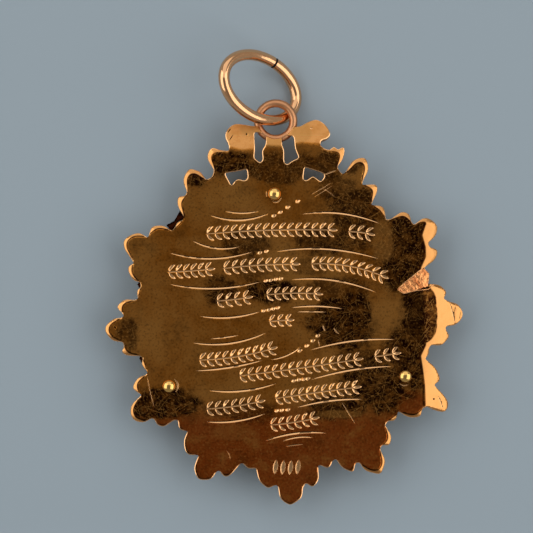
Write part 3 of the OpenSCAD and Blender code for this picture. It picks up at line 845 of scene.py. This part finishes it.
class OBJECT_OT_charm_split_ring(bpy.types.Operator):
    """Builds the split ring: polished wire bent to an oval, sawn through once"""
    bl_idname = "object.charm_split_ring"
    bl_label = "Split ring"

    # As in the CAD: degrees about X, Y and Z, where round the oval the saw cut is, and the middle in millimetres.
    LEAN = (-7, 38.2)
    TURN = -16.6
    CUT_TURN = 76
    MIDDLE = (-2.37, 24.76, 3.3635)
    ROUND = 10 * MM  # radius of the ring before it is bent to its oval

    def execute(self, context):
        s = context.scene.charm_ring
        segments = 240
        bpy.ops.mesh.primitive_torus_add(
            major_radius=self.ROUND, minor_radius=s.wire, major_segments=segments, minor_segments=36)
        ring = bpy.context.object
        ring.name = "SplitRing"
        # One segment is opened for the saw cut, and its two ends are closed.
        open_to = 2 * pi * (segments - 1) / segments
        with edit_mode("DESELECT"):
            bpy.ops.mesh.select_mode(type="FACE")
        for face in ring.data.polygons:
            face.select = atan2(face.center.y, face.center.x) % (2 * pi) > open_to
        with edit_mode(None):
            bpy.ops.mesh.delete(type="FACE")
            bpy.ops.mesh.select_mode(type="VERT")
            bpy.ops.mesh.select_all(action="SELECT")
            bpy.ops.mesh.fill_holes(sides=0)
        half_gap = s.cut / 2 / s.half_width
        stretch = (2 * pi - 2 * half_gap) / open_to
        for vertex in ring.data.vertices:
            across = hypot(vertex.co.x, vertex.co.y) - self.ROUND
            turn = atan2(vertex.co.y, vertex.co.x) % (2 * pi)
            turn = half_gap + turn * stretch + radians(self.CUT_TURN)
            out = Vector((s.half_width * cos(turn), s.half_length * sin(turn), 0)).normalized()
            at = Vector((s.half_length * cos(turn), s.half_width * sin(turn), 0)) + out * across
            vertex.co = (at.x, at.y, vertex.co.z)
        place = (Matrix.Translation(Vector(self.MIDDLE) * MM)
                 @ Matrix.Rotation(radians(self.LEAN[1]), 4, "Y")
                 @ Matrix.Rotation(radians(self.LEAN[0]), 4, "X")
                 @ Matrix.Rotation(radians(self.TURN), 4, "Z"))
        ring.data.transform(place)
        gold = wire_gold("rose_gold_ring_polished", s.gold, 0.06, 0.2)
        paint(ring, gold, dirt_and_shade_gold(context.scene.charm_plate))
        for face in ring.data.polygons:
            # The wire's faces have four corners, and the two dirty ends at the saw cut have more.
            face.material_index = int(len(face.vertices) > 4)
        finish_piece(ring, 40, "split_ring")
        return {"FINISHED"}


class OBJECT_OT_charm_pins(bpy.types.Operator):
    """Builds the three rivet pins with their low, round, polished heads"""
    bl_idname = "object.charm_pins"
    bl_label = "Pins"

    SEAT = (BACK_Z + 0.05) * MM  # height of a head's underside
    DOME = 0.08 * MM  # how far above it the dome's middle lies
    SHANK = (1.25 * MM, SEAT + 0.1 * MM)  # heights of the shank's ends, the upper one inside the head

    def execute(self, context):
        s = context.scene.charm_pins
        gold = wire_gold("yellow_gold_pin", s.gold, 0.08, 0.24)
        bottom, top = self.SHANK
        for node, (x, y) in PINS.items():
            bpy.ops.mesh.primitive_uv_sphere_add(
                segments=48, ring_count=32, radius=s.head, location=(x * MM, y * MM, self.SEAT + self.DOME))
            head = bpy.context.object
            head.name = node.title().replace("_", "")
            head.scale.z = s.rise / s.head
            apply_place(head)
            with edit_mode():
                bpy.ops.mesh.bisect(
                    plane_co=(x * MM, y * MM, self.SEAT), plane_no=(0, 0, 1), use_fill=True, clear_inner=True)
            bpy.ops.mesh.primitive_cylinder_add(
                vertices=48, radius=s.shank, depth=top - bottom, location=(x * MM, y * MM, (top + bottom) / 2))
            shank = bpy.context.object
            apply_place(shank)
            combine(head, shank, "UNION")
            paint(head, gold)
            finish_piece(head, 40, node)
        return {"FINISHED"}


class OBJECT_OT_charm_emblem(bpy.types.Operator):
    """Finishes the emblem on the hidden front: its edges are broken and polished"""
    bl_idname = "object.charm_emblem"
    bl_label = "Front emblem"

    def execute(self, context):
        piece = copy_of_node("front_emblem", "FrontEmblem")
        with edit_mode():
            bpy.ops.mesh.dissolve_limited(angle_limit=radians(1))
        bevel = piece.modifiers.new("broken_edges", "BEVEL")
        bevel.width = 0.1 * MM
        bevel.segments = 2
        bevel.limit_method = "ANGLE"
        bevel.angle_limit = radians(40)
        bpy.ops.object.modifier_apply(modifier=bevel.name)
        paint(piece, wire_gold("yellow_gold_emblem", context.scene.charm_pins.gold, 0.08, 0.24))
        finish_piece(piece, 30, "front_emblem")
        return {"FINISHED"}


class OBJECT_OT_charm_stage(bpy.types.Operator):
    """Adds the pale floor, the soft light and the camera straight above"""
    bl_idname = "object.charm_stage"
    bl_label = "Stage"

    FRAME_WIDTH = 53.3  # what the photo shows at the plate, in millimetres
    FRAME_MIDDLE = (-1.75, 6.85)
    SENSOR = 36  # in millimetres
    WALLS, CEILING = 0.34, 0.18  # how bright the room is beside the charm and above it
    # Soft panels: name, compass direction, degrees from overhead, watts, and size in metres.
    PANELS = (("RightPanel", (1, -0.12), 46, 1.3, (0.62, 0.46)), ("LeftPanel", (-1, 0.15), 50, 1.15, (0.6, 0.42)),
              ("TopPanel", (0.0, 1), 47, 0.72, (0.6, 0.54)))

    def execute(self, context):
        s = context.scene.charm_stage
        bpy.ops.mesh.primitive_plane_add(size=3, location=(0, 0, 0))
        floor = bpy.context.object
        floor.name = "Floor"
        m = new_material("painted_board")
        shader = add(m, "BsdfPrincipled", {"Base Color": tuple(s.floor), "Roughness": 0.9})
        add(m, "OutputMaterial", {"Surface": shader.outputs["BSDF"]})
        floor.data.materials.append(m)
        for name, toward, zenith, watts, size in self.PANELS:
            self.light(name, toward, zenith, watts * s.side_light, size)
        self.world()
        self.camera(context, s)
        return {"FINISHED"}

    def light(self, name, toward, zenith, power, size):
        """A soft panel half a metre from the charm."""
        bpy.ops.object.light_add(type="AREA")
        lamp = bpy.context.object
        lamp.name = name
        flat = Vector((*toward, 0)).normalized()
        way = flat * sin(radians(zenith)) + Vector((0, 0, cos(radians(zenith))))
        lamp.location = way * 0.5
        lamp.rotation_euler = way.to_track_quat("Z", "Y").to_euler()
        lamp.data.shape = "RECTANGLE"
        lamp.data.size, lamp.data.size_y = size
        lamp.data.energy = power

    def world(self):
        """A dim room, darker overhead than at the walls."""
        world = bpy.data.worlds.new("Room")
        bpy.context.scene.world = world
        world.use_nodes = True
        world.node_tree.nodes.clear()
        where = add(world, "TexCoord").outputs["Generated"]
        place = add(world, "SeparateXYZ", {"Vector": where})
        bright = add(world, "MapRange", (place.outputs["Z"], 0.0, 1.0, self.WALLS, self.CEILING))
        background = add(world, "Background", {"Color": bright})
        add(world, "OutputWorld", {"Surface": background})

    def camera(self, context, s):
        height = s.distance + BACK_Z * MM
        bpy.ops.object.camera_add(
            location=(self.FRAME_MIDDLE[0] * MM, self.FRAME_MIDDLE[1] * MM, height), rotation=(0, 0, 0))
        camera = bpy.context.object
        camera.data.sensor_width = self.SENSOR
        camera.data.lens = self.SENSOR * s.distance / (self.FRAME_WIDTH * MM)
        camera.data.clip_start = 0.01
        camera.data.clip_end = 10
        context.scene.camera = camera
        context.scene.view_settings.view_transform = "Standard"


class VIEW3D_PT_charm(bpy.types.Panel):
    """Lists the charm's pieces"""
    bl_idname = "VIEW3D_PT_charm"
    bl_label = "Fob charm"
    bl_space_type = "VIEW_3D"
    bl_region_type = "UI"
    bl_category = "Charm"

    def draw(self, context):
        for operator in OPERATORS:
            self.layout.operator(operator.bl_idname)
        for name in SETTINGS:
            settings = getattr(context.scene, name)
            box = self.layout.box()
            for key in settings.bl_rna.properties.keys():
                if key not in ("rna_type", "name"):
                    box.prop(settings, key)


SETTINGS = {"charm_plate": CharmPlateSettings, "charm_ring": CharmRingSettings, "charm_pins": CharmPinSettings,
            "charm_stage": CharmStageSettings}
OPERATORS = (OBJECT_OT_charm_stage, OBJECT_OT_charm_back_plate, OBJECT_OT_charm_split_ring, OBJECT_OT_charm_pins,
             OBJECT_OT_charm_emblem)
CLASSES = (*SETTINGS.values(), *OPERATORS, VIEW3D_PT_charm)


def register():
    for item in CLASSES:
        bpy.utils.register_class(item)
    for name, settings in SETTINGS.items():
        setattr(bpy.types.Scene, name, bpy.props.PointerProperty(type=settings))


def unregister():
    for name in SETTINGS:
        delattr(bpy.types.Scene, name)
    for item in reversed(CLASSES):
        bpy.utils.unregister_class(item)


def main():
    register()
    bpy.ops.object.charm_stage()
    bpy.ops.object.charm_back_plate()
    bpy.ops.object.charm_split_ring()
    bpy.ops.object.charm_pins()
    bpy.ops.object.charm_emblem()
    deselect()


if __name__ == "__main__":
    main()
